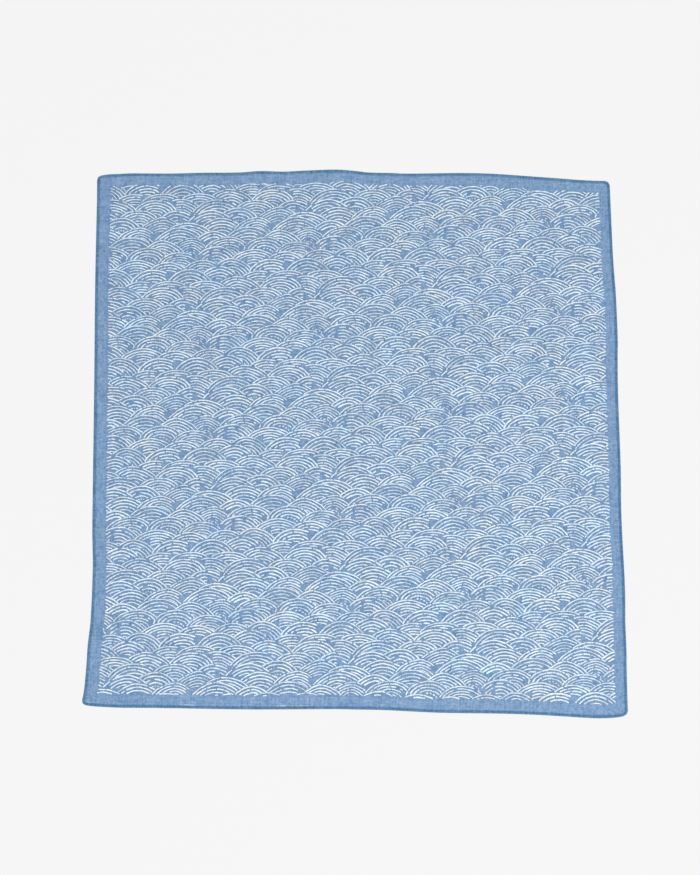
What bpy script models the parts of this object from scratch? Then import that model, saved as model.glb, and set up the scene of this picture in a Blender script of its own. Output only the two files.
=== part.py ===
"""A printed cotton handkerchief, laid out flat.

One thin sheet of cloth with a narrow rolled hem. It lies on its flat underside, and its outline is
a little out of square, as a washed and ironed cloth is. +Z is up, +X to the right and +Y to the far
edge, and the origin is at the middle of the footprint, on the surface below. The sizes here are in
millimetres, and the mesh is in metres.
"""

import math

import bmesh
import bpy
from mathutils.geometry import delaunay_2d_cdt

MM = 0.001

# Driving sizes
CLOTH_THICKNESS = 1.0
LEAST_THICKNESS = 0.6
HEM_HEIGHT = 2.0
HEM_WIDTH = 2.6
EDGE_STEP = 14.0
SURFACE_STEP = 15.0
CORNER_STEPS = 5
# Least room, as a share of the step or radius, that points keep from a corner, the rim or a crease
CORNER_CLEARANCE = 1.3
RIM_CLEARANCE = 0.4
CREASE_CLEARANCE = 0.33
SHARP_EDGE_DEGREES = 50.0
# How the triangulation is made: only inside the border, and points this near are one point
INSIDE_BORDER = 1
SAME_POINT = 1e-6

# The cloth's edge, round the four sides. Each side starts at its own corner.
BOTTOM_SIDE = (
    # x, y
    (-262.8, -262.8),
    (-225.0, -263.6),
    (-120.0, -264.8),
    (0.0, -265.2),
    (100.0, -268.4),
    (180.0, -270.6),
    (225.0, -273.4),
)
RIGHT_SIDE = (
    # x, y
    (262.4, -273.6),
    (262.4, -190.0),
    (261.0, -80.0),
    (260.8, 40.0),
    (261.8, 95.0),
    (261.0, 142.0),
    (259.2, 180.0),
    (258.2, 225.0),
)
TOP_SIDE = (
    # x, y
    (257.6, 261.8),
    (190.0, 265.6),
    (125.0, 269.8),
    (50.0, 269.4),
    (20.0, 270.4),
    (-20.0, 273.6),
    (-70.0, 272.2),
    (-130.0, 270.4),
    (-225.0, 269.8),
)
LEFT_SIDE = (
    # x, y
    (-262.0, 269.0),
    (-260.8, 150.0),
    (-259.3, 50.0),
    (-257.8, -60.0),
    (-256.2, -130.0),
    (-257.2, -178.0),
    (-260.2, -225.0),
)
SIDES = (BOTTOM_SIDE, RIGHT_SIDE, TOP_SIDE, LEFT_SIDE)
# The radius of the corner at which each of these sides starts
CORNER_RADII = (7.0, 8.0, 6.0, 10.0)

# Section of the rolled hem, from the underside round the outside to the cloth's face
HEM_SECTION = (
    # share of the hem's width in from the edge, share of its height
    (0.22, 0.0),
    (0.03, 0.22),
    (0.0, 0.52),
    (0.12, 0.84),
    (0.38, 1.0),
    (0.70, 0.94),
    (1.0, 0.62),
    (1.5, 0.5),
)

# Soft ironed creases from edge to edge
CREASES_ALONG_Y = (
    # x, height, half width
    (-5.0, -0.25, 9.0),
)
CREASES_ALONG_X = (
    # y, height, half width
    (78.0, 0.22, 11.0),
    (-122.0, -0.25, 11.0),
)
# Low swells, where the cloth lies a little full
SWELLS = (
    # x, y, height, radius
    (-20.0, 246.0, 0.9, 42.0),
    (206.0, -240.0, 0.8, 48.0),
    (-232.0, -205.0, 0.8, 42.0),
    (236.0, 100.0, 0.7, 46.0),
    (-232.0, 226.0, 0.7, 40.0),
    (140.0, 50.0, 0.4, 90.0),
    (-120.0, -30.0, 0.4, 95.0),
)

CLOTH_COLOUR = (0.19, 0.33, 0.57, 1.0)
CLOTH_ROUGHNESS = 0.9


def clear_scene():
    for found in list(bpy.data.objects):
        bpy.data.objects.remove(found, do_unlink=True)


def curve_through(before, start, end, after, share):
    """A point on the smooth curve from start to end, between its two neighbours."""
    place = []
    for a, b, c, d in zip(before, start, end, after):
        bend = share * share * (2.0 * a - 5.0 * b + 4.0 * c - d)
        twist = share**3 * (3.0 * b - a - 3.0 * c + d)
        place.append(b + 0.5 * (share * (c - a) + bend + twist))
    return tuple(place)


def beyond(start, end):
    """The point as far past the end as the start is before it."""
    return tuple(2.0 * b - a for a, b in zip(start, end))


def side_points(side, next_corner):
    """Points along one side, a step apart, from its corner up to the next one."""
    rows = [*side, next_corner]
    points = []
    for index in range(len(rows) - 1):
        start, end = rows[index], rows[index + 1]
        before = rows[index - 1] if index else beyond(end, start)
        after = rows[index + 2] if index + 2 < len(rows) else beyond(start, end)
        steps = max(1, round(math.dist(start, end) / EDGE_STEP))
        for step in range(steps):
            points.append(curve_through(before, start, end, after, step / steps))
    return [*points, next_corner]


def towards(start, end, distance):
    share = distance / math.dist(start, end)
    return tuple(a + (b - a) * share for a, b in zip(start, end))


def corner_points(corner, coming, leaving, radius):
    """A round corner between the sides that come into it and leave it."""
    start = towards(corner, coming, radius)
    end = towards(corner, leaving, radius)
    points = []
    for step in range(CORNER_STEPS + 1):
        share = step / CORNER_STEPS
        weights = ((1.0 - share) ** 2, 2.0 * share * (1.0 - share), share * share)
        places = zip(start, corner, end)
        points.append(tuple(sum(w * p for w, p in zip(weights, place)) for place in places))
    return points


def outline():
    """The cloth's edge as one loop, anticlockwise from above."""
    sides = []
    for index, side in enumerate(SIDES):
        next_corner = SIDES[(index + 1) % len(SIDES)][0]
        sides.append(side_points(side, next_corner))
    loop = []
    for index, side in enumerate(sides):
        coming = sides[index - 1][-2]
        corner = side[0]
        clear = CORNER_CLEARANCE * max(CORNER_RADII)
        loop += corner_points(corner, coming, side[1], CORNER_RADII[index])
        loop += [p for p in side if min(math.dist(p, corner), math.dist(p, side[-1])) > clear]
    return loop


def moved_in(loop, distance):
    """The loop moved in by a distance, square to itself at each point."""
    moved = []
    for index, (x, y) in enumerate(loop):
        before = loop[index - 1]
        after = loop[(index + 1) % len(loop)]
        along_x = after[0] - before[0]
        along_y = after[1] - before[1]
        length = math.hypot(along_x, along_y)
        moved.append((x - along_y / length * distance, y + along_x / length * distance))
    return moved


def bell(distance, reach):
    """1 in the middle, falling smoothly to 0 at the reach."""
    if abs(distance) >= reach:
        return 0.0
    return 0.5 + 0.5 * math.cos(math.pi * distance / reach)


def unevenness(x, y):
    """How much higher or lower than an even sheet the cloth's face is at a point."""
    height = sum(rise * bell(x - place, reach) for place, rise, reach in CREASES_ALONG_Y)
    height += sum(rise * bell(y - place, reach) for place, rise, reach in CREASES_ALONG_X)
    for centre_x, centre_y, rise, radius in SWELLS:
        height += rise * bell(math.hypot(x - centre_x, y - centre_y), radius)
    return height


def face_height(x, y):
    return max(CLOTH_THICKNESS + unevenness(x, y), LEAST_THICKNESS)


def inside(point, loop):
    """Whether a point lies inside the loop."""
    x, y = point
    found = False
    for index, (end_x, end_y) in enumerate(loop):
        start_x, start_y = loop[index - 1]
        if (start_y > y) != (end_y > y):
            crossing = start_x + (y - start_y) * (end_x - start_x) / (end_y - start_y)
            if x < crossing:
                found = not found
    return found


def surface_lines(reach, creases):
    """Places of the rows of points across the cloth: even steps, and three on each crease."""
    count = math.ceil(reach / SURFACE_STEP)
    places = [SURFACE_STEP * index for index in range(-count, count + 1)]
    for place, _, half_width in creases:
        clear = half_width + SURFACE_STEP * CREASE_CLEARANCE
        kept = [found for found in places if abs(found - place) > clear]
        places = [*kept, place - half_width, place, place + half_width]
    return sorted(places)


def surface_points(rim):
    """Points inside the hem, well clear of its rim."""
    reach = max(max(abs(x), abs(y)) for x, y in rim)
    bound = moved_in(rim, SURFACE_STEP * RIM_CLEARANCE)
    points = []
    for x in surface_lines(reach, CREASES_ALONG_Y):
        points += [(x, y) for y in surface_lines(reach, CREASES_ALONG_X) if inside((x, y), bound)]
    return points


def add_hem(mesh, edge):
    """The rolled hem's rings, from the flat underside to the cloth's face, as lists of vertices."""
    rings = []
    for width_share, height_share in HEM_SECTION:
        ring = []
        for x, y in moved_in(edge, width_share * HEM_WIDTH):
            height = height_share * (HEM_HEIGHT + unevenness(x, y))
            ring.append(mesh.verts.new((x * MM, y * MM, height * MM)))
        rings.append(ring)
    for lower, upper in zip(rings, rings[1:]):
        for index in range(len(lower)):
            corners = (lower[index - 1], lower[index], upper[index], upper[index - 1])
            mesh.faces.new(corners)
    return rings


def add_face(mesh, rim):
    """The cloth's upper face, filling the hem's inner rim."""
    edge = [(vertex.co.x / MM, vertex.co.y / MM) for vertex in rim]
    places = edge + surface_points(edge)
    border = [(index, (index + 1) % len(edge)) for index in range(len(edge))]
    triangles = delaunay_2d_cdt(places, border, [], INSIDE_BORDER, SAME_POINT)[2]
    vertices = list(rim)
    for x, y in places[len(edge) :]:
        vertices.append(mesh.verts.new((x * MM, y * MM, face_height(x, y) * MM)))
    for triangle in triangles:
        mesh.faces.new([vertices[index] for index in triangle])


def make_cloth_material():
    material = bpy.data.materials.new("blue_cotton")
    material.use_nodes = True
    shader = material.node_tree.nodes["Principled BSDF"]
    shader.inputs["Base Color"].default_value = CLOTH_COLOUR
    shader.inputs["Roughness"].default_value = CLOTH_ROUGHNESS
    shader.inputs["Metallic"].default_value = 0.0
    return material


def make_handkerchief():
    mesh = bmesh.new()
    rings = add_hem(mesh, outline())
    mesh.faces.new(rings[0])
    add_face(mesh, rings[-1])
    bmesh.ops.recalc_face_normals(mesh, faces=mesh.faces[:])
    data = bpy.data.meshes.new("handkerchief")
    mesh.to_mesh(data)
    mesh.free()
    data.shade_smooth()
    data.set_sharp_from_angle(angle=math.radians(SHARP_EDGE_DEGREES))
    data.materials.append(make_cloth_material())
    handkerchief = bpy.data.objects.new("handkerchief", data)
    bpy.context.scene.collection.objects.link(handkerchief)


def main():
    clear_scene()
    make_handkerchief()


main()
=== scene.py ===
"""The looks of a printed cotton handkerchief, laid out flat on a pale surface.

The cloth is a thin woven sheet with a rolled hem, oversewn with thread. A wave-fan pattern is printed
on its face in white, inside a border that is left bare. Sizes are in millimetres unless a comment
says otherwise, and meshes are in metres. +X is to the right and +Y to the far edge.
"""

import math
from collections import namedtuple

import bpy
import numpy as np
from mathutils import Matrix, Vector, noise
from mathutils.bvhtree import BVHTree
from mathutils.kdtree import KDTree


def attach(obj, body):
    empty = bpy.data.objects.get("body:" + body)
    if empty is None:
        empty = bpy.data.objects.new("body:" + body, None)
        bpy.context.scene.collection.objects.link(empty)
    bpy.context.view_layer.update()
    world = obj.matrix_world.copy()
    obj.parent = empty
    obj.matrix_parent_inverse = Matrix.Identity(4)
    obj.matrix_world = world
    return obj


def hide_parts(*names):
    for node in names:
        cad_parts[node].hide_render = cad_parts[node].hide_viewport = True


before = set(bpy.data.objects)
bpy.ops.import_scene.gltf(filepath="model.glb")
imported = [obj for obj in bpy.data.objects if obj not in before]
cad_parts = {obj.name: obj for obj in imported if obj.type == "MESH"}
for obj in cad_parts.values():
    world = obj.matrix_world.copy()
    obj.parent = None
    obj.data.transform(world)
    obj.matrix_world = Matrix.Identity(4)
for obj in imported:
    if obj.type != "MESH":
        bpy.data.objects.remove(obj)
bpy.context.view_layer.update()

MM = 0.001
WHITE = (1.0, 1.0, 1.0, 1.0)
# One repeat of the pattern and those around it, in repeats across and up
REPEATS_AROUND = [(across, up) for across in (-1, 0, 1) for up in (-1, 0, 1)]

Fan = namedtuple("Fan", "x top radius squash tilt bend")
Void = namedtuple("Void", "x y length height turn level")
# What all the arcs of one fan share
Habit = namedtuple("Habit", "barred dotted phases clearance ink width")
Stroke = namedtuple("Stroke", "points widths ink")
Ribbons = namedtuple("Ribbons", "vertices faces asides cores inks layers")
ThreadColours = namedtuple("ThreadColours", "warp weft balance")
Finish = namedtuple("Finish", "roughness specular bump_height bump_strength")

# The camera: in metres, looking down and leaning to the far edge
CAMERA_PLACE = (-0.0052, -0.2012, 1.4261)
CAMERA_LEAN_DEGREES = 8.0
CAMERA_LENS = 60.0
CAMERA_SENSOR = 36.0

# Light and floor, in metres and watts. The surface is a pale light table, which glows a little.
SKY_STRENGTH = 0.56
LAMP_PLACE = (0.75, -1.45, 2.95)
LAMP_AIM = (0.0, 0.0, 0.0)
LAMP_SIZE = 1.6
LAMP_POWER = 75.0
FLOOR_SIZE = 8.0
FLOOR_COLOUR = (0.10, 0.10, 0.10, 1.0)
FLOOR_GLOW = 0.809

# The cloth's edge, round the four sides. Each side starts at its own corner.
BOTTOM_SIDE = (
    # x, y
    (-264.3, -260.3),
    (-257.0, -261.6),
    (-245.0, -262.6),
    (-225.0, -263.5),
    (-184.0, -263.8),
    (-103.0, -265.1),
    (-22.0, -264.8),
    (0.0, -265.2),
    (30.0, -265.8),
    (80.0, -268.2),
    (140.0, -269.1),
    (180.0, -270.5),
    (225.0, -273.2),
    (240.0, -273.4),
    (252.0, -272.6),
)
RIGHT_SIDE = (
    # x, y
    (262.4, -270.8),
    (262.0, -255.0),
    (262.0, -225.0),
    (262.3, -210.0),
    (261.9, -182.0),
    (262.4, -147.0),
    (260.8, -80.0),
    (261.3, -29.0),
    (260.6, 40.0),
    (261.1, 79.0),
    (261.7, 98.0),
    (261.0, 142.0),
    (259.2, 180.0),
    (258.2, 225.0),
)
TOP_SIDE = (
    # x, y
    (257.6, 261.6),
    (232.0, 262.4),
    (190.0, 265.6),
    (125.0, 269.8),
    (55.0, 269.4),
    (37.0, 270.0),
    (14.0, 270.6),
    (0.0, 272.2),
    (-20.0, 273.6),
    (-48.0, 272.7),
    (-72.0, 271.5),
    (-96.0, 272.1),
    (-115.0, 270.7),
    (-130.0, 270.4),
    (-155.0, 270.3),
    (-186.0, 269.5),
    (-225.0, 269.7),
    (-238.0, 269.1),
    (-248.0, 268.7),
    (-256.0, 267.7),
)
LEFT_SIDE = (
    # x, y
    (-261.6, 265.9),
    (-261.1, 240.0),
    (-261.1, 225.0),
    (-260.8, 150.0),
    (-259.3, 50.0),
    (-258.1, -60.0),
    (-257.6, -95.0),
    (-256.3, -130.0),
    (-257.1, -178.0),
    (-259.3, -203.0),
    (-260.3, -225.0),
    (-261.9, -247.0),
)
SIDES = (BOTTOM_SIDE, RIGHT_SIDE, TOP_SIDE, LEFT_SIDE)
# The radius of the corner at which each of these sides starts
CORNER_RADII = (5.5, 6.0, 5.5, 4.0)
OUTLINE_STEP = 1.0
CORNER_STEPS = 12
# Least room that a side's points keep from its corners, as a share of the largest radius
CORNER_CLEARANCE = 1.3
# How far in from the edge the hem's own outline lies at each side, with the thread outside it
EDGE_TRIMS = (0.15, 0.15, 0.5, 0.45)

# The sheet: its own thickness, and how high its underside lies above the surface
CLOTH_THICKNESS = 0.4
CLOTH_LIE = 0.35
LEAST_LIE = 0.06
CELLS_ACROSS = 150
CELLS_UP = 154
# Where the hem holds the sheet up, and how far in that reaches
HEM_LIFT = 0.35
HEM_LIFT_REACH = 9.0

# The rolled hem in section, from the underside round the outside to the cloth's face
HEM_SECTION = (
    # how far in from the edge, height
    (2.5, 0.44),
    (1.95, 0.34),
    (1.3, 0.26),
    (0.7, 0.30),
    (0.22, 0.50),
    (0.0, 0.78),
    (0.1, 1.05),
    (0.42, 1.28),
    (0.97, 1.38),
    (1.5, 1.27),
    (1.98, 1.06),
    (2.4, 0.90),
)
# How far in from the edge the hem meets the sheet
HEM_RIM = 3.2
# How uneven the hem's thickness is, over what length, and the slice of the noise that it follows
HEM_UNEVENNESS = 0.12
HEM_UNEVEN_LENGTH = 26.0
HEM_NOISE_SLICE = 5.0

# Soft ironed creases from edge to edge
CREASES_ALONG_Y = (
    # x, height, half width
    (-5.0, -0.25, 9.0),
)
CREASES_ALONG_X = (
    # y, height, half width
    (78.0, 0.22, 11.0),
    (-122.0, -0.25, 11.0),
)
# Low swells, where the cloth lies a little full
SWELLS = (
    # x, y, height, radius
    (-20.0, 246.0, 0.9, 42.0),
    (206.0, -240.0, 0.8, 48.0),
    (-232.0, -205.0, 0.8, 42.0),
    (236.0, 100.0, 0.7, 46.0),
    (-232.0, 226.0, 0.7, 40.0),
    (140.0, 50.0, 0.4, 90.0),
    (-120.0, -30.0, 0.4, 95.0),
)
# Ripples all over, and tighter puckers along the hem
RIPPLES = (
    # height, length of a ripple
    (0.10, 46.0),
    (0.04, 17.0),
)
PUCKER_HEIGHT = 0.16
PUCKER_LENGTH = 8.0
PUCKER_REACH = 6.0

# The cloth's texture map: where its middle lies, the share of the map that a millimetre takes, and
# the strip that the underside is squeezed into
MAP_MIDDLE = 0.415
MAP_SCALE = 0.00145
UNDER_MAP_START = 0.84
UNDER_MAP_WIDTH = 0.17
PRINT_MAP_SCALE = 0.00185

# The oversewing thread round the hem: its radius and how that varies, the stitches' pitch and
# slant along the hem, how far off its place a stitch is in pitches, and the sides of its tube
THREAD_RADIUS = 0.17
THREAD_RADIUS_SPREAD = (0.9, 1.1)
THREAD_PITCH = 1.15
THREAD_SLANT = 0.9
THREAD_JITTER = 0.12
THREAD_SIDES = 4
THREAD_SEED = 21
THREAD_PATH = (
    # how far in from the edge, height
    (2.5, 0.80),
    (1.98, 1.12),
    (1.1, 1.46),
    (0.27, 1.24),
    (-0.1, 0.78),
    (0.27, 0.38),
    (1.0, 0.20),
)

# The print: how far it keeps from each side, and how uneven that is
BORDER_LEFT = 13.7
BORDER_RIGHT = 11.6
BORDER_TOP = 13.0
BORDER_BOTTOM = 13.3
BORDER_UNEVENNESS = 0.5
# How dull the side borders are, as a share of the printed field's dullness
SIDE_DULLNESS = 0.3
# How much less the printing dulls the cloth in the middle, and how much less for each metre to the
# right and near, which is painted light
DULLNESS_LOSS = 0.17
PAINTED_LIGHT_DRIFT = 0.40
# Least length of a stroke that the border cuts
LEAST_CUT_STROKE = 2.2
# Painted highlights along the bottom hem: faint pale streaks drawn in ink on the cloth just inside it
HEM_HIGHLIGHTS = (
    # start x, end x, ink
    (-260.0, -245.5, 0.16),
    (-169.5, -151.0, 0.26),
    (-77.0, -41.5, 0.34),
)
HEM_HIGHLIGHT_INSET = 3.5
HEM_HIGHLIGHT_WIDTH = 1.1
# A highlight's width follows a half wave, less this much at each end
HEM_HIGHLIGHT_ENDS = 0.2
# The strip of cloth at each side of a stroke that goes with it, darkened by the ink's binder
INK_MARGIN = 0.42
INK_SOFTNESS = 0.22
# How high the ink lies over the cloth, in thin layers, so that strokes that touch aren't level
INK_LAYERS = 5
INK_LAYER = 0.008
INK_LIFT = 0.05
# Where the search for the cloth below the ink starts
SEARCH_HEIGHT = 10.0
# How much wider the strokes are drawn towards the right and the near edge, for each metre, which is
# painted light
PAINTED_LIGHT_WIDENING_ACROSS = 0.17
PAINTED_LIGHT_WIDENING_NEAR = 0.18
# The pattern repeats in a rectangle that is turned a little on the cloth
REPEAT_ACROSS = 118.5
REPEAT_UP = 90.8
PRINT_TURN_DEGREES = 5.4
REPEATS_EACH_WAY = 4
# The fans in one repeat. With the repeat in as many parts, each fan lies one part lower than the
# last and FAN_STEP parts across, which makes rows that are level on the cloth.
FAN_COUNT = 31
FAN_STEP = 9
FAN_RADII = (21.5, 32.5)
FAN_SQUASH = (0.80, 0.98)
FAN_TILT_DEGREES = 10.0
# How far the fans are turned back against the repeat, which makes them stand nearly upright
FAN_TURN_BACK_DEGREES = 3.0
# How the fans are bent: 2 is round, and less is straighter at the flanks
FAN_BEND = (1.6, 2.1)
# How far off its place a fan is at most
FAN_SHIFT = 5.5
FAN_RISE = 3.4
# How far below its centre a fan still covers those behind it, as a share of its radius
COVER_BELOW = 0.3
# The arcs of a fan. Their ends lie a little below its centre, and are given in half turns, as is
# their length.
LINE_PITCH = 2.95
PITCH_SPREAD = (0.90, 1.14)
LEAST_RADIUS = 1.6
ARC_ENDS = (-0.05, 1.05)
ARC_LENGTH = 1.1
ARC_WAVES = (
    # height, waves in a whole turn, shift from each arc to the next
    (0.24, 3, 0.5),
    (0.16, 7, 1.7),
    (0.11, 17, 2.9),
)
# Line widths: how they differ from fan to fan and from stroke to stroke, and how they fall from the
# outer arc, by how much at each arc, to the least
LINE_WIDTH = 0.93
FAN_WIDTHS = (0.90, 1.09)
STROKE_WIDTHS = (0.84, 1.12)
OUTER_WIDTH = 1.14
WIDTH_FALL = 0.045
INNER_WIDTH = 0.88
WIDTH_WAVES = (
    # share of the width, turn for each millimetre, which of the fan's phases, shift from arc to arc
    (0.16, 0.7, 3, 1),
    (0.12, 2.3, 1, 2),
)
# How full the ink is, from fan to fan and from stroke to stroke
FAN_INKS = (0.78, 1.08)
STROKE_INKS = (0.84, 1.0)
# Room between a fan's arcs and the fan in front, and how it differs from arc to arc. A few arcs run
# over the fan in front.
CLEARANCES = (1.0, 2.2)
CLEARANCE_SPREAD = 0.5
OVERRUN_CHANCE = 0.05
OVERRUN = -0.8
# Small breaks in the strokes: the mean length between them, and how far they reach to each side
BREAK_SPACING = 28.0
BREAK_REACHES = (0.35, 0.85)
# Some fans have a core of short dashes: the share of fans, the core's radius, where the first break
# lies at most, the pitch of the breaks, and how far they reach to each side
DOTTED_SHARE = 0.3
DOTTED_RADIUS = 9.0
DOTTED_START = 3.0
DOTTED_PITCHES = (2.4, 4.0)
DOTTED_REACH = 0.75
# Strokes shorter than this are left out, and so are some up to the scant length, except in a core
LEAST_STROKE = 0.6
SCANT_STROKE = 4.0
STROKE_STEP = 0.35
# How many steps of a stroke one step of its ribbon takes
RIBBON_STRIDE = 5
PATTERN_SEED = 12
# Bare patches in one repeat, where the ink ran out beside a fan's shoulder
VOIDS = (
    # which fan, which side of it, length, height
    (2, -1, 5.0, 3.1),
    (5, 1, 3.4, 2.6),
    (7, 1, 4.2, 3.0),
    (9, -1, 3.7, 2.8),
    (12, 1, 4.4, 2.8),
    (14, -1, 3.6, 2.8),
    (16, -1, 5.0, 3.3),
    (18, 1, 3.2, 2.4),
    (20, 1, 4.2, 3.2),
    (23, 1, 3.5, 2.6),
    (26, -1, 4.4, 2.8),
    (28, 1, 3.6, 2.6),
    (30, -1, 3.4, 2.6),
)
# Where a void lies: how many degrees from its fan's top, how far outside the fan, how much its turn
# varies, and how much it slopes down with the fan's shoulder
VOID_DEGREES = (34.0, 56.0)
VOID_DISTANCES = (1.5, 3.5)
VOID_TURN = 0.4
VOID_SLOPE = 0.45
# Where strokes stop, as a share of a void's reach, and where the printing's dullness ends and how
# fast it fades
VOID_RIM = (0.8, 1.15)
VOID_DULL_END = 1.2
VOID_FADE = 2.0
# One fan has a bar across some of its arcs, where the ink is missing: how far the bar is from the
# fan's middle as a share of its radius, its width, and the first and the last arc that it crosses
BAR_FAN = 24
BAR_PLACE = -0.3
BAR_WIDTH = 3.4
BAR_ARCS = (1, 4)
# How uneven the bar's place and its half width are
BAR_SHIFT = 0.4
BAR_UNEVENNESS = 0.5

# The colours of the cloth's threads, and how much of the weft shows. The hem's are darker, which is
# painted shade on the rolled hem.
CLOTH_THREADS = ThreadColours((0.09, 0.20, 0.374), (0.37, 0.51, 0.712), 0.40)
SHADED_HEM_THREADS = ThreadColours((0.055, 0.162, 0.335), (0.265, 0.42, 0.61), 0.35)
# What the printing does to the cloth's colour: all over the field, from warmer to cooler, and right
# beside a stroke
FIELD_TONES = ((0.91, 0.885, 0.87), (0.81, 0.885, 0.98))
BESIDE_TONE = (0.78, 0.79, 0.77)
INK_ON_BLUE = (0.18, 0.30, 0.47)
INK_WHITES = ((0.82, 0.87, 0.885), (0.705, 0.87, 0.995))
THREAD_DARK = (0.006, 0.072, 0.155)
THREAD_PALE = (0.027, 0.18, 0.30)
CLOTH_FINISH = Finish(0.92, 0.15, 0.06, 0.6)
INK_FINISH = Finish(0.85, 0.2, 0.05, 0.5)
THREAD_FINISH = Finish(0.7, 0.3, 0.05, 0.5)
# Noises in the materials, with grains per metre. The values of each lie around the middle.
NOISE_ROUGHNESS = 0.6
NOISE_MIDDLE = 0.5
THREAD_NOISES = (
    # grains along x, y and z, detail, weight
    ((480.0, 480.0, 480.0), 4.0, 1.3),
    ((750.0, 60.0, 100.0), 2.0, 0.7),
    ((60.0, 750.0, 100.0), 2.0, 0.6),
    ((70.0, 70.0, 70.0), 2.0, 0.3),
)
# Grains along x, y and z, and detail
INK_GRAIN = ((900.0, 900.0, 900.0), 1.0)
INK_WEAR = ((85.0, 85.0, 85.0), 3.0)
COOLNESS = ((38.0, 38.0, 38.0), 4.0)
FIBRES = ((2200.0, 2200.0, 2200.0), 2.0)
COOLNESS_CONTRAST = 3.0
# The weave: its threads' pitch, and how much it shades the cloth and the ink
WEAVE_PITCH = 0.45
WEAVE_IN_CLOTH = 0.22
WEAVE_IN_INK = 0.06
# How much the ink's cover and the place of its edge owe to fine grain, to wear and to the threads
GRAIN_IN_COVER = 0.9
WEAR_IN_COVER = 1.3
THREADS_IN_COVER = 0.4
GRAIN_IN_EDGE = 0.5
WEAR_IN_EDGE = 0.55


# Outline

def curve_through(before, start, end, after, share):
    """A point on the smooth curve from start to end, between its two neighbours."""
    place = []
    for a, b, c, d in zip(before, start, end, after):
        bend = share * share * (2.0 * a - 5.0 * b + 4.0 * c - d)
        twist = share**3 * (3.0 * b - a - 3.0 * c + d)
        place.append(b + 0.5 * (share * (c - a) + bend + twist))
    return tuple(place)


def beyond(start, end):
    """The point as far past the end as the start is before it."""
    return tuple(2.0 * b - a for a, b in zip(start, end))


def side_points(side, next_corner):
    """Points along one side, a step apart, from its corner up to the next one."""
    rows = [*side, next_corner]
    points = []
    for index in range(len(rows) - 1):
        start, end = rows[index], rows[index + 1]
        before = rows[index - 1] if index else beyond(end, start)
        after = rows[index + 2] if index + 2 < len(rows) else beyond(start, end)
        steps = max(1, round(math.dist(start, end) / OUTLINE_STEP))
        for step in range(steps):
            points.append(curve_through(before, start, end, after, step / steps))
    return [*points, next_corner]


def towards(start, end, distance):
    share = distance / math.dist(start, end)
    return tuple(a + (b - a) * share for a, b in zip(start, end))


def corner_points(corner, coming, leaving, radius):
    """A round corner between the sides that come into it and leave it."""
    start = towards(corner, coming, radius)
    end = towards(corner, leaving, radius)
    points = []
    for step in range(CORNER_STEPS + 1):
        share = step / CORNER_STEPS
        weights = ((1.0 - share) ** 2, 2.0 * share * (1.0 - share), share * share)
        places = zip(start, corner, end)
        points.append(tuple(sum(w * p for w, p in zip(weights, place)) for place in places))
    return points


def whole_sides():
    """Each side's points from corner to corner, as if the corners were sharp."""
    return [side_points(side, SIDES[(i + 1) % len(SIDES)][0]) for i, side in enumerate(SIDES)]


def rounded_sides():
    """Each side's points from the middle of one round corner to the middle of the next."""
    sides = whole_sides()
    clear = CORNER_CLEARANCE * max(CORNER_RADII)
    corners = []
    for index, side in enumerate(sides):
        coming = sides[index - 1][-2]
        corners.append(corner_points(side[0], coming, side[1], CORNER_RADII[index]))
    half = CORNER_STEPS // 2
    found = []
    for index, side in enumerate(sides):
        straight = [p for p in side if min(math.dist(p, side[0]), math.dist(p, side[-1])) > clear]
        next_corner = corners[(index + 1) % len(corners)]
        found.append([*corners[index][half:], *straight, *next_corner[: half + 1]])
    return found


def lengths_along(points):
    """How far along a line of points each of them lies."""
    steps = np.hypot(*np.diff(points, axis=0).T)
    return np.concatenate([[0.0], np.cumsum(steps)])


def spread_along(points, count):
    """Count equal steps along a line of points."""
    points = np.array(points)
    along = lengths_along(points)
    wanted = np.linspace(0.0, along[-1], count + 1)
    return np.stack([np.interp(wanted, along, points[:, axis]) for axis in (0, 1)], axis=1)


def moved_in(loop, distance):
    """A closed loop moved in by a distance, which may differ from point to point."""
    direction = np.roll(loop, -1, axis=0) - np.roll(loop, 1, axis=0)
    direction /= np.hypot(direction[:, 0], direction[:, 1])[:, None]
    inward = np.stack([-direction[:, 1], direction[:, 0]], axis=1)
    return loop + inward * np.reshape(distance, (-1, 1))


# Heights

def bell(distance, reach):
    """1 in the middle, falling smoothly to 0 at the reach."""
    if abs(distance) >= reach:
        return 0.0
    return 0.5 + 0.5 * math.cos(math.pi * distance / reach)


def folds(x, y):
    """The creases and swells that the cloth lies in."""
    height = sum(rise * bell(x - place, reach) for place, rise, reach in CREASES_ALONG_Y)
    height += sum(rise * bell(y - place, reach) for place, rise, reach in CREASES_ALONG_X)
    for centre_x, centre_y, rise, radius in SWELLS:
        height += rise * bell(math.hypot(x - centre_x, y - centre_y), radius)
    return height


def lie_height(x, y, from_edge):
    """How high the cloth's underside lies at a point."""
    height = CLOTH_LIE + folds(x, y)
    for rise, length in RIPPLES:
        height += rise * noise.noise(Vector((x / length, y / length, length)))
    pucker = noise.noise(Vector((x / PUCKER_LENGTH, y / PUCKER_LENGTH, 0.0)))
    height += PUCKER_HEIGHT * pucker * math.exp(-from_edge / PUCKER_REACH)
    height += HEM_LIFT * math.exp(-from_edge / HEM_LIFT_REACH)
    return max(height, LEAST_LIE)


# Meshes

def add_object(name, vertices, faces, maps=None):
    """A mesh object from places in millimetres, shaded smooth."""
    mesh = bpy.data.meshes.new(name)
    mesh.from_pydata((np.asarray(vertices) * MM).tolist(), [], faces)
    if maps is not None:
        layer = mesh.uv_layers.new(name="OFBake")
        layer.data.foreach_set("uv", np.asarray(maps, dtype=np.float32).ravel())
    mesh.shade_smooth()
    made = bpy.data.objects.new(name, mesh)
    bpy.context.scene.collection.objects.link(made)
    return made


def add_values(made, name, values):
    """Gives each vertex of an object a value of that name, which its material reads."""
    attribute = made.data.attributes.new(name, "FLOAT", "POINT")
    attribute.data.foreach_set("value", np.array(values, dtype=np.float32))


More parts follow.
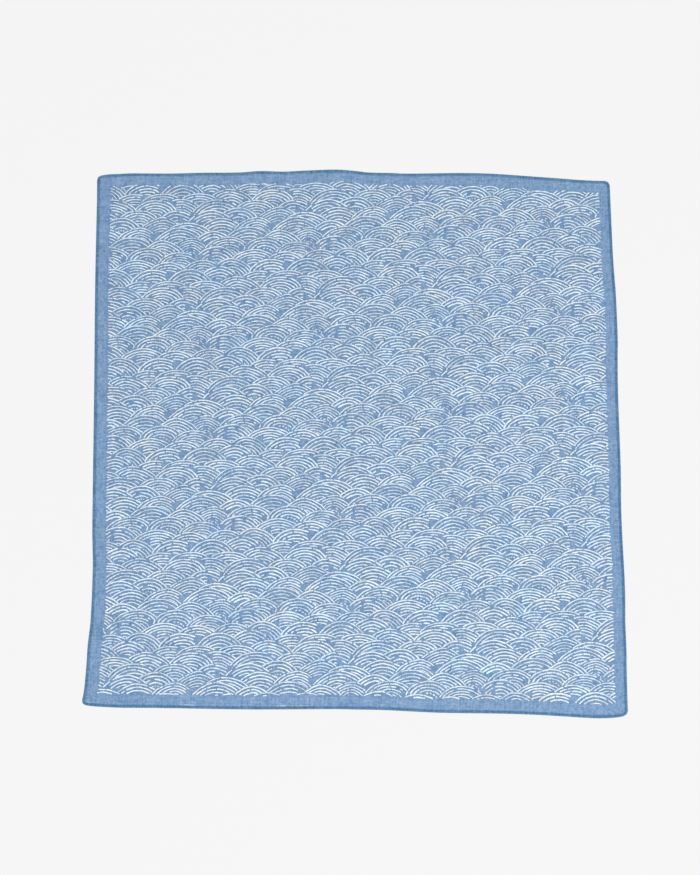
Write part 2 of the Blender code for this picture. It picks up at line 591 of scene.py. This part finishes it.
def filled(rim, across, up):
    """A grid of points that fills a closed rim, whose first point is the bottom left corner."""
    bottom = rim[: across + 1]
    right = rim[across : across + up + 1]
    top = rim[across + up : 2 * across + up + 1][::-1]
    left = np.concatenate([rim[2 * across + up :], rim[:1]])[::-1]
    u = np.linspace(0.0, 1.0, across + 1)[None, :, None]
    v = np.linspace(0.0, 1.0, up + 1)[:, None, None]
    between_rows = (1.0 - v) * bottom[None, :] + v * top[None, :]
    between_columns = (1.0 - u) * left[:, None] + u * right[:, None]
    corners = (1.0 - v) * ((1.0 - u) * bottom[0] + u * bottom[-1])
    corners = corners + v * ((1.0 - u) * top[0] + u * top[-1])
    return between_rows + between_columns - corners


def rim_places(across, up):
    """Row and column in the grid of each point round the rim, in the rim's order."""
    places = [(0, column) for column in range(across)]
    places += [(row, across) for row in range(up)]
    places += [(up, column) for column in range(across, 0, -1)]
    places += [(row, 0) for row in range(up, 0, -1)]
    return places


def sheet_heights(grid, edge):
    """How high the underside lies at each point of the grid."""
    edge_tree = KDTree(len(edge))
    for index, (x, y) in enumerate(edge):
        edge_tree.insert((x, y, 0.0), index)
    edge_tree.balance()
    heights = np.zeros(grid.shape[:2])
    for row, column in np.ndindex(*heights.shape):
        x, y = grid[row, column]
        from_edge = edge_tree.find((x, y, 0.0))[2]
        heights[row, column] = lie_height(x, y, from_edge)
    return heights


def hem_girth(edge):
    """How thick the hem is at each point of the edge, around 1."""
    girth = []
    for x, y in edge:
        place = Vector((x / HEM_UNEVEN_LENGTH, y / HEM_UNEVEN_LENGTH, HEM_NOISE_SLICE))
        girth.append(1.0 + HEM_UNEVENNESS * noise.noise(place))
    return np.array(girth)


def sheet_faces(count):
    """The grid's faces, by turns on the underside and on the face, whose vertices come count later."""
    columns = CELLS_ACROSS + 1
    faces = []
    for row in range(CELLS_UP):
        for column in range(CELLS_ACROSS):
            a = row * columns + column
            b, c, d = a + 1, a + columns + 1, a + columns
            faces.append((a, d, c, b))
            faces.append((a + count, b + count, c + count, d + count))
    return faces


def faces_between(rings):
    """The corners of the faces that join each ring to the next one."""
    faces = []
    for lower, upper in zip(rings, rings[1:]):
        for index in range(len(lower)):
            faces.append((lower[index - 1], lower[index], upper[index], upper[index - 1]))
    return faces


def make_cloth(edge):
    """The sheet with its rolled hem: underside, hem and face as one closed mesh."""
    grid = filled(moved_in(edge, HEM_RIM), CELLS_ACROSS, CELLS_UP)
    heights = sheet_heights(grid, edge).ravel()
    flat = grid.reshape(-1, 2)
    count = len(flat)
    vertices = [np.column_stack([flat, heights]), np.column_stack([flat, heights + CLOTH_THICKNESS])]

    columns = CELLS_ACROSS + 1
    rings = [[row * columns + column for row, column in rim_places(CELLS_ACROSS, CELLS_UP)]]
    girth = hem_girth(edge)
    for number, (inset, height) in enumerate(HEM_SECTION):
        vertices.append(np.column_stack([moved_in(edge, inset * girth), height * girth]))
        start = 2 * count + number * len(edge)
        rings.append(list(range(start, start + len(edge))))
    rings.append([index + count for index in rings[0]])
    vertices = np.concatenate(vertices)

    sheet = sheet_faces(count)
    maps = [place for face in sheet for place in sheet_map(face, vertices, count)]
    cloth = add_object("cloth", vertices, sheet + faces_between(rings), maps + hem_maps(edge))
    dulled_and_painted_light = np.zeros(len(vertices))
    dulled_and_painted_light[: 2 * count] = dullness_and_painted_light(vertices[: 2 * count, :2])
    add_values(cloth, "dulled_and_painted_light", dulled_and_painted_light)
    cloth.data.materials.append(make_cloth_material("cotton_cloth", CLOTH_THREADS))
    # The hem's cloth is a darker copy of the face's cloth, as painted shade on the rolled hem
    cloth.data.materials.append(make_cloth_material("cotton_hem_painted_shade", SHADED_HEM_THREADS))
    for polygon in cloth.data.polygons[len(sheet) :]:
        polygon.material_index = 1
    return cloth


def on_map(x, y):
    """A place on the cloth as a place on its texture map, where the face takes up most of the room."""
    return (MAP_MIDDLE + x * MAP_SCALE, MAP_MIDDLE + y * MAP_SCALE)


def sheet_map(face, vertices, count):
    """Texture places of a face of the sheet. The underside's are squeezed into a strip at the side."""
    places = [on_map(*vertices[index][:2]) for index in face]
    if face[0] < count:
        return [(UNDER_MAP_START + UNDER_MAP_WIDTH * u, v) for u, v in places]
    return places


def hem_maps(edge):
    """Texture places of the hem's faces, as if the hem were rolled out flat round the cloth's face."""
    section = [(HEM_RIM, CLOTH_LIE), *HEM_SECTION, (HEM_RIM, CLOTH_LIE + CLOTH_THICKNESS)]
    lengths = [math.dist(start, end) for start, end in zip(section, section[1:])]
    loops = [moved_in(edge, HEM_RIM - sum(lengths[index:])) for index in range(len(section))]
    return [on_map(*corner) for face in faces_between(loops) for corner in face]


def make_thread(edge):
    """The thread that is sewn over and over round the hem, one short wrap at each stitch."""
    rng = np.random.default_rng(THREAD_SEED)
    along = lengths_along(np.concatenate([edge, edge[:1]]))
    rings = []
    for inset, _ in THREAD_PATH:
        ring = moved_in(edge, inset)
        rings.append(np.concatenate([ring, ring[:1]]))
    vertices = []
    faces = []
    for stitch in range(int(along[-1] / THREAD_PITCH)):
        at = (stitch + rng.uniform(-THREAD_JITTER, THREAD_JITTER)) * THREAD_PITCH
        path = []
        for index, (ring, (_, height)) in enumerate(zip(rings, THREAD_PATH)):
            slant = THREAD_SLANT * (index / (len(THREAD_PATH) - 1) - 0.5)
            place = (at + slant) % along[-1]
            x = np.interp(place, along, ring[:, 0])
            y = np.interp(place, along, ring[:, 1])
            path.append(Vector((x, y, height)))
        add_tube(path, THREAD_RADIUS * rng.uniform(*THREAD_RADIUS_SPREAD), vertices, faces)
    thread = add_object("hem_thread", vertices, faces)
    thread.data.materials.append(make_thread_material())
    return thread


def add_tube(path, radius, vertices, faces):
    """A closed tube along a short path."""
    start = len(vertices)
    for index, point in enumerate(path):
        along = path[min(index + 1, len(path) - 1)] - path[max(index - 1, 0)]
        along.normalize()
        side = along.orthogonal().normalized()
        if index:
            side = (last_side - along * last_side.dot(along)).normalized()
        last_side = side
        other = along.cross(side)
        for corner in range(THREAD_SIDES):
            angle = 2.0 * math.pi * corner / THREAD_SIDES
            vertices.append(tuple(point + radius * (math.cos(angle) * side + math.sin(angle) * other)))
    for index in range(len(path) - 1):
        for corner in range(THREAD_SIDES):
            a = start + index * THREAD_SIDES + corner
            b = start + index * THREAD_SIDES + (corner + 1) % THREAD_SIDES
            faces.append((a, b, b + THREAD_SIDES, a + THREAD_SIDES))
    faces.append(tuple(range(start + THREAD_SIDES - 1, start - 1, -1)))
    end = start + (len(path) - 1) * THREAD_SIDES
    faces.append(tuple(range(end, end + THREAD_SIDES)))


# The wave-fan pattern

def make_fans(rng):
    """The fans of one repeat, nearly upright on the cloth and each a little off its place."""
    fans = []
    for number in range(FAN_COUNT):
        parts_across = number * FAN_STEP % FAN_COUNT
        x = parts_across * REPEAT_ACROSS / FAN_COUNT + rng.uniform(-FAN_SHIFT, FAN_SHIFT)
        top = REPEAT_UP * (1.0 - number / FAN_COUNT) + rng.uniform(-FAN_RISE, FAN_RISE)
        tilt = rng.uniform(-FAN_TILT_DEGREES, FAN_TILT_DEGREES) - FAN_TURN_BACK_DEGREES
        size = rng.uniform(*FAN_RADII), rng.uniform(*FAN_SQUASH)
        fans.append(Fan(x, top, *size, math.radians(tilt), rng.uniform(*FAN_BEND)))
    return fans


def level(x, y):
    """How high a place in the repeat lies, the way the fans stand: a lower fan covers a higher one."""
    turn = math.radians(FAN_TURN_BACK_DEGREES)
    return x * math.sin(turn) + y * math.cos(turn)


def bent_length(fan, across, up):
    """The radius of the arc of a fan on which places lie, seen from its centre."""
    return (np.abs(across) ** fan.bend + np.abs(up) ** fan.bend) ** (1.0 / fan.bend)


def seen_from(fan, x, y):
    """Places seen from a fan's centre, turned with it and stretched so that its arcs are round."""
    across = x - fan.x
    up = y - fan.top + fan.radius * fan.squash
    turned_across = across * math.cos(fan.tilt) + up * math.sin(fan.tilt)
    turned_up = up * math.cos(fan.tilt) - across * math.sin(fan.tilt)
    return turned_across, turned_up / fan.squash


def fans_in_front(fans, own):
    """The fans, also of the repeats around, that lie lower and so cover parts of this one."""
    found = []
    own_level = level(own.x, own.top)
    for other in fans:
        for across, up in REPEATS_AROUND:
            x = other.x + across * REPEAT_ACROSS
            top = other.top + up * REPEAT_UP
            near = math.hypot(x - own.x, top - own.top) < 2.0 * FAN_RADII[1]
            if level(x, top) < own_level and near:
                found.append(other._replace(x=x, top=top))
    return found


def make_voids(fans, rng):
    """Bare patches of one repeat, each beside the shoulder of a fan and behind it."""
    voids = []
    for picked, side, length, height in VOIDS:
        fan = fans[picked]
        angle = side * math.radians(rng.uniform(*VOID_DEGREES))
        reach = fan.radius + rng.uniform(*VOID_DISTANCES)
        x = fan.x + reach * math.sin(angle)
        y = fan.top + (reach * math.cos(angle) - fan.radius) * fan.squash
        turn = rng.uniform(-VOID_TURN, VOID_TURN) - VOID_SLOPE * side
        voids.append(Void(x, y, length, height, turn, level(fan.x, fan.top)))
    return voids


def void_reach(void, x, y):
    """How far places are from a void's middle: 1 at its rim."""
    across = x - void.x
    up = y - void.y
    along = (across * math.cos(void.turn) + up * math.sin(void.turn)) / void.length
    aside = (up * math.cos(void.turn) - across * math.sin(void.turn)) / void.height
    return np.hypot(along, aside)


def voids_around(voids):
    """The voids of one repeat and of the repeats around it."""
    found = []
    for void in voids:
        for across, up in REPEATS_AROUND:
            x = across * REPEAT_ACROSS
            y = up * REPEAT_UP
            moved_level = void.level + level(x, y)
            found.append(void._replace(x=void.x + x, y=void.y + y, level=moved_level))
    return found


def start_pattern():
    """The random numbers, the fans and the voids that a repeat of the pattern starts from."""
    rng = np.random.default_rng(PATTERN_SEED)
    fans = make_fans(rng)
    return rng, fans, voids_around(make_voids(fans, rng))


def in_voids(points):
    """How far each point on the cloth lies in a void, from 0 to 1."""
    voids = start_pattern()[2]
    x, y = (points @ print_turning().T).T
    x = (x + REPEAT_ACROSS / 2) % REPEAT_ACROSS - REPEAT_ACROSS / 2
    y = (y + REPEAT_UP / 2) % REPEAT_UP - REPEAT_UP / 2
    found = np.zeros(len(points))
    for void in voids:
        depth = VOID_FADE * (VOID_DULL_END - void_reach(void, x, y))
        found = np.maximum(found, np.clip(depth, 0.0, 1.0))
    return found


def dullness_and_painted_light(points):
    """How far the printing has dulled the cloth at each point, with the side borders a little, and
    less towards the right and the near edge as painted light.
    """
    lines = side_lines()
    x, y = points.T
    beside = x < np.interp(y, *lines["left"]) + BORDER_LEFT
    beside |= x > np.interp(y, *lines["right"]) - BORDER_RIGHT
    field = in_field(points, lines, 0.0) * (1.0 - in_voids(points))
    # Less dulled towards the right and the near edge: painted light
    field *= 1.0 - DULLNESS_LOSS - PAINTED_LIGHT_DRIFT * (x - y) * MM
    return np.maximum(field, SIDE_DULLNESS * beside)


def print_turning():
    """What points, as rows, are multiplied by to turn the pattern on the cloth."""
    turn = math.radians(PRINT_TURN_DEGREES)
    return np.array(((math.cos(turn), math.sin(turn)), (-math.sin(turn), math.cos(turn))))


def arc_line(fan, radius, number, phases):
    """An arc of a fan, a little wavy: its places across and up from the fan's centre."""
    steps = int(ARC_LENGTH * math.pi * radius / STROKE_STEP)
    angles = np.linspace(ARC_ENDS[0] * math.pi, ARC_ENDS[1] * math.pi, steps)
    wobble = np.zeros(steps)
    for (height, waves, shift), phase in zip(ARC_WAVES, phases):
        wobble += height * np.sin(waves * angles + phase + shift * number)
    reach = (radius + wobble) / bent_length(fan, np.cos(angles), np.sin(angles))
    return reach * np.cos(angles), reach * np.sin(angles) * fan.squash


def in_repeat(fan, across, up):
    """Places seen from a fan's centre as places in the repeat, one to a row."""
    x = fan.x + across * math.cos(fan.tilt) - up * math.sin(fan.tilt)
    y = fan.top - fan.radius * fan.squash + across * math.sin(fan.tilt) + up * math.cos(fan.tilt)
    return np.stack([x, y], axis=1)


def uncovered(points, front, clearance):
    """Which points the fans in front leave free."""
    free = np.ones(len(points), bool)
    for other in front:
        across, up = seen_from(other, *points.T)
        near = bent_length(other, across, up) < other.radius + clearance
        free &= ~(near & (up > -COVER_BELOW * other.radius))
    return free


def arc_strokes(fan, radius, number, front, voids, habit, rng):
    """The visible strokes of one arc of a fan."""
    across, up = arc_line(fan, radius, number, habit.phases)
    points = in_repeat(fan, across, up)
    along = lengths_along(points)
    clearance = habit.clearance + rng.uniform(-CLEARANCE_SPREAD, CLEARANCE_SPREAD)
    if rng.uniform() < OVERRUN_CHANCE:
        clearance = OVERRUN
    keep = uncovered(points, front, clearance)
    for void in voids:
        if level(fan.x, fan.top) > void.level:
            keep &= void_reach(void, *points.T) > rng.uniform(*VOID_RIM)
    for _ in range(rng.poisson(along[-1] / BREAK_SPACING)):
        keep &= abs(along - rng.uniform(0.0, along[-1])) > rng.uniform(*BREAK_REACHES)
    if habit.barred and BAR_ARCS[0] <= number <= BAR_ARCS[1]:
        from_bar = abs(across - BAR_PLACE * fan.radius - rng.uniform(-BAR_SHIFT, BAR_SHIFT))
        half = BAR_WIDTH / 2 + rng.uniform(-BAR_UNEVENNESS, BAR_UNEVENNESS)
        keep &= (from_bar > half) | (up < 0)
    dotted = habit.dotted and radius < DOTTED_RADIUS
    if dotted:
        first = rng.uniform(0, DOTTED_START)
        for at in np.arange(first, along[-1], rng.uniform(*DOTTED_PITCHES)):
            keep &= abs(along - at) > DOTTED_REACH

    strokes = []
    for run in runs_in(np.flatnonzero(keep)):
        least = rng.uniform(LEAST_STROKE, LEAST_STROKE if dotted else SCANT_STROKE)
        if along[run[-1]] - along[run[0]] >= least:
            widths = stroke_widths(along[run], number, habit) * rng.uniform(*STROKE_WIDTHS)
            strokes.append(Stroke(points[run], widths, habit.ink * rng.uniform(*STROKE_INKS)))
    return strokes


def runs_in(indices):
    """Rising indices as runs, each without a gap in it."""
    if len(indices) == 0:
        return []
    return np.split(indices, np.flatnonzero(np.diff(indices) > 1) + 1)


def stroke_widths(along, number, habit):
    """How wide a stroke is at places along its arc, which is wavy and falls from arc to arc."""
    widths = np.ones(len(along))
    for share, turn, which, shift in WIDTH_WAVES:
        widths += share * np.sin(turn * along + habit.phases[which] + shift * number)
    fall = max(INNER_WIDTH, OUTER_WIDTH - WIDTH_FALL * number)
    return widths * (LINE_WIDTH * habit.width * fall)


def make_repeat():
    """All the strokes of one repeat of the pattern."""
    rng, fans, voids = start_pattern()
    strokes = []
    for index, fan in enumerate(fans):
        front = fans_in_front(fans, fan)
        pitch = LINE_PITCH * rng.uniform(*PITCH_SPREAD) / ((1.0 + fan.squash) / 2)
        habit = Habit(
            barred=index == BAR_FAN,
            dotted=rng.uniform() < DOTTED_SHARE,
            phases=rng.uniform(0, 2.0 * math.pi, 4),
            clearance=rng.uniform(*CLEARANCES),
            ink=rng.uniform(*FAN_INKS),
            width=pitch / LINE_PITCH * rng.uniform(*FAN_WIDTHS),
        )
        for number in range(int(fan.radius // pitch)):
            radius = fan.radius - number * pitch
            if radius >= LEAST_RADIUS:
                strokes += arc_strokes(fan, radius, number, front, voids, habit, rng)
    return strokes


def side_lines():
    """Each side as the value across it for the value along it, ready for np.interp."""
    bottom, right, top, left = (np.array(side) for side in whole_sides())
    return {
        "bottom": (bottom[:, 0], bottom[:, 1]),
        "right": (right[:, 1], right[:, 0]),
        "top": (top[::-1, 0], top[::-1, 1]),
        "left": (left[::-1, 1], left[::-1, 0]),
    }


def in_field(points, lines, slack):
    """Which points lie in the printed field."""
    x, y = points.T
    kept = x > np.interp(y, *lines["left"]) + BORDER_LEFT - slack
    kept &= x < np.interp(y, *lines["right"]) - BORDER_RIGHT + slack
    kept &= y < np.interp(x, *lines["top"]) - BORDER_TOP + slack
    kept &= y > np.interp(x, *lines["bottom"]) + BORDER_BOTTOM - slack
    return kept


def field_parts(stroke, shift, lines, slack):
    """The parts of a stroke that lie in the field, with whether the border cuts each of their ends."""
    points = (stroke.points + shift) @ print_turning()
    last = len(points) - 1
    for run in runs_in(np.flatnonzero(in_field(points, lines, slack))):
        if len(run) == len(points) or len(run) * STROKE_STEP > LEAST_CUT_STROKE:
            yield points[run], stroke.widths[run], (run[0] > 0, run[-1] < last)


def add_strokes(lines, ribbons):
    """Ribbons for all the strokes in the printed field."""
    rng = np.random.default_rng(PATTERN_SEED + 1)
    strokes = make_repeat()
    repeats = range(-REPEATS_EACH_WAY, REPEATS_EACH_WAY + 1)
    for across, up in ((across, up) for across in repeats for up in repeats):
        shift = np.array((across * REPEAT_ACROSS, up * REPEAT_UP))
        for stroke in strokes:
            slack = rng.uniform(-BORDER_UNEVENNESS, BORDER_UNEVENNESS)
            for points, widths, blunt in field_parts(stroke, shift, lines, slack):
                x, y = points.T
                # Strokes drawn wider towards the right and the near edge: painted light
                painted_light_widening = 1.0 + (PAINTED_LIGHT_WIDENING_ACROSS * x - PAINTED_LIGHT_WIDENING_NEAR * y) * MM
                add_ribbon(points, widths * painted_light_widening, stroke.ink, blunt, ribbons)


def add_hem_highlights(lines, ribbons):
    """Ribbons for the painted highlights, faint pale streaks beside the bottom hem."""
    for start, end, ink in HEM_HIGHLIGHTS:
        x = np.arange(start, end, STROKE_STEP)
        points = np.stack([x, np.interp(x, *lines["bottom"]) + HEM_HIGHLIGHT_INSET], axis=1)
        widths = HEM_HIGHLIGHT_WIDTH * np.sin(np.linspace(HEM_HIGHLIGHT_ENDS, math.pi - HEM_HIGHLIGHT_ENDS, len(x)))
        add_ribbon(points, widths, ink, (False, False), ribbons)


def ink_heights(cloth, ribbons):
    """How high each vertex of the ribbons lies, a little over the cloth."""
    places = [vertex.co for vertex in cloth.data.vertices]
    corners = [tuple(polygon.vertices) for polygon in cloth.data.polygons]
    tree = BVHTree.FromPolygons(places, corners)
    down = Vector((0.0, 0.0, -1.0))
    heights = []
    for (x, y), layer in zip(ribbons.vertices, ribbons.layers):
        hit = tree.ray_cast(Vector((x * MM, y * MM, SEARCH_HEIGHT * MM)), down)[0]
        heights.append(hit.z / MM + INK_LIFT + layer * INK_LAYER)
    return heights


def make_print(cloth):
    """The printed strokes, and the painted highlights beside the bottom hem, as thin ribbons of ink on
    the cloth's face.
    """
    lines = side_lines()
    ribbons = Ribbons([], [], [], [], [], [])
    add_strokes(lines, ribbons)
    # Painted highlights beside the bottom hem, drawn in ink
    add_hem_highlights(lines, ribbons)
    vertices = np.column_stack([np.array(ribbons.vertices), ink_heights(cloth, ribbons)])
    maps = [print_map(*ribbons.vertices[index]) for face in ribbons.faces for index in face]
    printed = add_object("print", vertices, ribbons.faces, maps)
    add_values(printed, "ink", ribbons.inks)
    add_values(printed, "aside", ribbons.asides)
    add_values(printed, "core", ribbons.cores)
    printed.data.materials.append(make_ink_material())
    return printed


def print_map(x, y):
    """A place in the print as a place on its own texture map, which it fills."""
    return (0.5 + x * PRINT_MAP_SCALE, 0.5 + y * PRINT_MAP_SCALE)


def add_ribbon(points, widths, ink, blunt, ribbons):
    """A flat ribbon along a stroke, with a point at each end that the border doesn't cut off.

    It is wider than the stroke. Each vertex knows how far it is from the stroke's middle line, and how
    far the ink reaches there, so that the material can draw the ink's own edge.
    """
    picked = list(range(0, len(points) - 1, RIBBON_STRIDE))
    if len(picked) > 1 and len(points) - 1 - picked[-1] < RIBBON_STRIDE / 2:
        picked.pop()
    picked.append(len(points) - 1)
    line = points[picked]
    cores = widths[picked] / 2
    half = cores + INK_MARGIN
    direction = np.gradient(line, axis=0)
    direction /= np.hypot(direction[:, 0], direction[:, 1])[:, None]
    side = np.stack([-direction[:, 1], direction[:, 0]], axis=1) * half[:, None]
    start = len(ribbons.vertices)
    for place, offset, core, reach in zip(line, side, cores, half):
        ribbons.vertices.extend((tuple(place + offset), tuple(place - offset)))
        ribbons.asides.extend((reach, -reach))
        ribbons.cores.extend((core, core))
    for index in range(len(line) - 1):
        a = start + 2 * index
        ribbons.faces.append((a, a + 1, a + 3, a + 2))
    end = start + 2 * (len(line) - 1)
    tips = (
        (line[0] - direction[0] * half[0], (start + 1, start)),
        (line[-1] + direction[-1] * half[-1], (end, end + 1)),
    )
    for (tip, base), is_blunt in zip(tips, blunt):
        if not is_blunt:
            ribbons.faces.append((len(ribbons.vertices), *base))
            ribbons.vertices.append(tuple(tip))
            ribbons.asides.append(0.0)
            ribbons.cores.append(-INK_MARGIN)
    added = len(ribbons.vertices) - start
    ribbons.inks.extend([ink] * added)
    ribbons.layers.extend([len(ribbons.faces) % INK_LAYERS] * added)


# Materials

def add_node(tree, kind, inputs=None, **settings):
    """A shader node with its settings. An input is a value or another node's output."""
    made = tree.nodes.new(kind)
    for name, value in settings.items():
        setattr(made, name, value)
    for name, value in (inputs or {}).items():
        if isinstance(value, bpy.types.NodeSocket):
            tree.links.new(value, made.inputs[name])
        else:
            made.inputs[name].default_value = value
    return made


def calculate(tree, operation, first, second=0.0, third=0.0):
    """A math node's output."""
    inputs = {0: first, 1: second, 2: third}
    return add_node(tree, "ShaderNodeMath", inputs, operation=operation).outputs[0]


def stretched_noise(tree, place, scale, detail):
    """Noise whose grains have a size of their own along each axis, given as grains per metre."""
    mapping = add_node(tree, "ShaderNodeMapping", {"Vector": place, "Scale": scale})
    inputs = {
        "Vector": mapping.outputs[0],
        "Scale": 1.0,
        "Detail": detail,
        "Roughness": NOISE_ROUGHNESS,
    }
    return add_node(tree, "ShaderNodeTexNoise", inputs).outputs[0]


def weave_height(tree, place):
    """The over and under of a plain weave, from -1 where a warp thread is on top to 1."""
    parts = add_node(tree, "ShaderNodeSeparateXYZ", {0: place})
    waves = []
    for axis in ("X", "Y"):
        turns = calculate(tree, "MULTIPLY", parts.outputs[axis], math.pi / (WEAVE_PITCH * MM))
        waves.append(calculate(tree, "SINE", turns))
    return calculate(tree, "MULTIPLY", *waves)


def mixed(tree, factor, first, second, blend="MIX"):
    """Two colours mixed as far as the factor says, each a colour or a node's output."""
    mix = add_node(tree, "ShaderNodeMix", {0: factor}, data_type="RGBA", blend_type=blend)
    for socket, colour in ((6, first), (7, second)):
        if isinstance(colour, bpy.types.NodeSocket):
            tree.links.new(colour, mix.inputs[socket])
        else:
            mix.inputs[socket].default_value = (*colour, 1.0)
    return mix.outputs[2]


def added_up(tree, total, parts):
    """A total with each part added to it at its weight."""
    for part, weight in parts:
        total = calculate(tree, "MULTIPLY_ADD", part, weight, total)
    return total


def new_material(name):
    """An empty node material and its shader."""
    material = bpy.data.materials.new(name)
    material.use_nodes = True
    return material, material.node_tree, material.node_tree.nodes["Principled BSDF"]


def finish_surface(tree, shader, colour, height, finish):
    """Gives a shader its colour, its fine relief and how it shines."""
    tree.links.new(colour, shader.inputs["Base Color"])
    inputs = {
        "Height": height,
        "Distance": finish.bump_height * MM,
        "Strength": finish.bump_strength,
    }
    tree.links.new(add_node(tree, "ShaderNodeBump", inputs).outputs[0], shader.inputs["Normal"])
    shader.inputs["Roughness"].default_value = finish.roughness
    shader.inputs["Specular IOR Level"].default_value = finish.specular


def thread_mix(tree, place):
    """How much more or less of the pale weft shows from place to place."""
    total = 0.0
    for grains, detail, weight in THREAD_NOISES:
        found = stretched_noise(tree, place, grains, detail)
        part = calculate(tree, "MULTIPLY_ADD", found, weight, -NOISE_MIDDLE * weight)
        total = calculate(tree, "ADD", part, total)
    return total


def woven_colour(tree, place, weave, threads):
    """The colour of the cloth from place to place."""
    mix = calculate(tree, "ADD", thread_mix(tree, place), threads.balance)
    mix = added_up(tree, mix, [(weave, WEAVE_IN_CLOTH)])
    return mixed(tree, mix, threads.warp, threads.weft)


def make_cloth_material(name, threads):
    """Plain-woven cotton: a blue warp and a paler weft, a little slubby."""
    material, tree, shader = new_material(name)
    place = add_node(tree, "ShaderNodeTexCoord").outputs["Object"]
    weave = weave_height(tree, place)
    colour = woven_colour(tree, place, weave, threads)
    tone = mixed(tree, coolness(tree, place), *FIELD_TONES)
    # The dulling carries painted light: the cloth is paler towards the right and the near edge
    dulled_and_painted_light = mixed(tree, known_at_vertices(tree, "dulled_and_painted_light"), colour, tone, "MULTIPLY")
    finish_surface(tree, shader, dulled_and_painted_light, weave, CLOTH_FINISH)
    return material


def coolness(tree, place):
    """How cool the print's tone is from place to place, from 0 to 1 or past them."""
    drift = stretched_noise(tree, place, *COOLNESS)
    lowest = NOISE_MIDDLE - NOISE_MIDDLE * COOLNESS_CONTRAST
    return calculate(tree, "MULTIPLY_ADD", drift, COOLNESS_CONTRAST, lowest)


def centred_noise(tree, place, grains, detail):
    """Noise that is as often under zero as over it."""
    return calculate(tree, "ADD", stretched_noise(tree, place, grains, detail), -NOISE_MIDDLE)


def known_at_vertices(tree, name):
    return add_node(tree, "ShaderNodeAttribute", attribute_name=name).outputs["Fac"]


def make_ink_material():
    """White ink with a soft edge, which has sunk into the weave and is thinner on some threads."""
    material, tree, shader = new_material("white_ink")
    place = add_node(tree, "ShaderNodeTexCoord").outputs["Object"]
    weave = weave_height(tree, place)
    grain = centred_noise(tree, place, *INK_GRAIN)
    worn = centred_noise(tree, place, *INK_WEAR)
    parts = [
        (grain, GRAIN_IN_COVER),
        (worn, WEAR_IN_COVER),
        (thread_mix(tree, place), THREADS_IN_COVER),
        (weave, WEAVE_IN_INK),
    ]
    cover = added_up(tree, known_at_vertices(tree, "ink"), parts)
    white = mixed(tree, coolness(tree, place), *INK_WHITES)
    ink = mixed(tree, cover, INK_ON_BLUE, white)

    from_middle = calculate(tree, "ABSOLUTE", known_at_vertices(tree, "aside"))
    within = calculate(tree, "SUBTRACT", known_at_vertices(tree, "core"), from_middle)
    parts = [(grain, GRAIN_IN_EDGE), (worn, WEAR_IN_EDGE), (weave, WEAVE_IN_INK)]
    within = added_up(tree, within, parts)
    inked = calculate(tree, "MULTIPLY_ADD", within, 1.0 / INK_SOFTNESS, 0.5)
    bare = woven_colour(tree, place, weave, CLOTH_THREADS)
    beside = mixed(tree, 1.0, bare, BESIDE_TONE, "MULTIPLY")
    finish_surface(tree, shader, mixed(tree, inked, beside, ink), weave, INK_FINISH)
    return material


def make_thread_material():
    """Spun thread, a deeper blue than the cloth."""
    material, tree, shader = new_material("hem_thread")
    place = add_node(tree, "ShaderNodeTexCoord").outputs["Object"]
    fibres = stretched_noise(tree, place, *FIBRES)
    colour = mixed(tree, fibres, THREAD_DARK, THREAD_PALE)
    finish_surface(tree, shader, colour, fibres, THREAD_FINISH)
    return material


def make_floor():
    material, _, shader = new_material("pale_floor")
    shader.inputs["Base Color"].default_value = FLOOR_COLOUR
    shader.inputs["Emission Color"].default_value = WHITE
    shader.inputs["Emission Strength"].default_value = FLOOR_GLOW
    shader.inputs["Roughness"].default_value = 1.0
    shader.inputs["Specular IOR Level"].default_value = 0.0
    reach = FLOOR_SIZE / 2 / MM
    corners = [(-reach, -reach, 0.0), (reach, -reach, 0.0), (reach, reach, 0.0), (-reach, reach, 0.0)]
    floor = add_object("floor", corners, [(0, 1, 2, 3)])
    floor.data.materials.append(material)


# Camera and light

def make_camera():
    data = bpy.data.cameras.new("camera")
    data.lens = CAMERA_LENS
    data.sensor_width = CAMERA_SENSOR
    camera = bpy.data.objects.new("camera", data)
    camera.location = CAMERA_PLACE
    camera.rotation_euler = (math.radians(CAMERA_LEAN_DEGREES), 0.0, 0.0)
    bpy.context.scene.collection.objects.link(camera)
    bpy.context.scene.camera = camera


def make_light():
    world = bpy.data.worlds.new("pale_studio")
    world.use_nodes = True
    sky = world.node_tree.nodes["Background"]
    sky.inputs["Strength"].default_value = SKY_STRENGTH
    sky.inputs["Color"].default_value = WHITE
    bpy.context.scene.world = world
    data = bpy.data.lights.new("soft_lamp", "AREA")
    data.shape = "DISK"
    data.size = LAMP_SIZE
    data.energy = LAMP_POWER
    lamp = bpy.data.objects.new("soft_lamp", data)
    lamp.location = LAMP_PLACE
    aim = Vector(LAMP_AIM) - Vector(LAMP_PLACE)
    lamp.rotation_euler = aim.to_track_quat("-Z", "Y").to_euler()
    bpy.context.scene.collection.objects.link(lamp)
    bpy.context.scene.view_settings.view_transform = "Standard"


def main():
    make_camera()
    make_light()
    make_floor()
    counts = (CELLS_ACROSS, CELLS_UP, CELLS_ACROSS, CELLS_UP)
    edge = np.concatenate(
        [spread_along(side, count)[:-1] for side, count in zip(rounded_sides(), counts)]
    )
    edge = moved_in(edge, np.repeat(EDGE_TRIMS, counts))
    cloth = make_cloth(edge)
    thread = make_thread(edge)
    printed = make_print(cloth)
    for piece in (cloth, thread, printed):
        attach(piece, "root")
    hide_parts("handkerchief")


main()
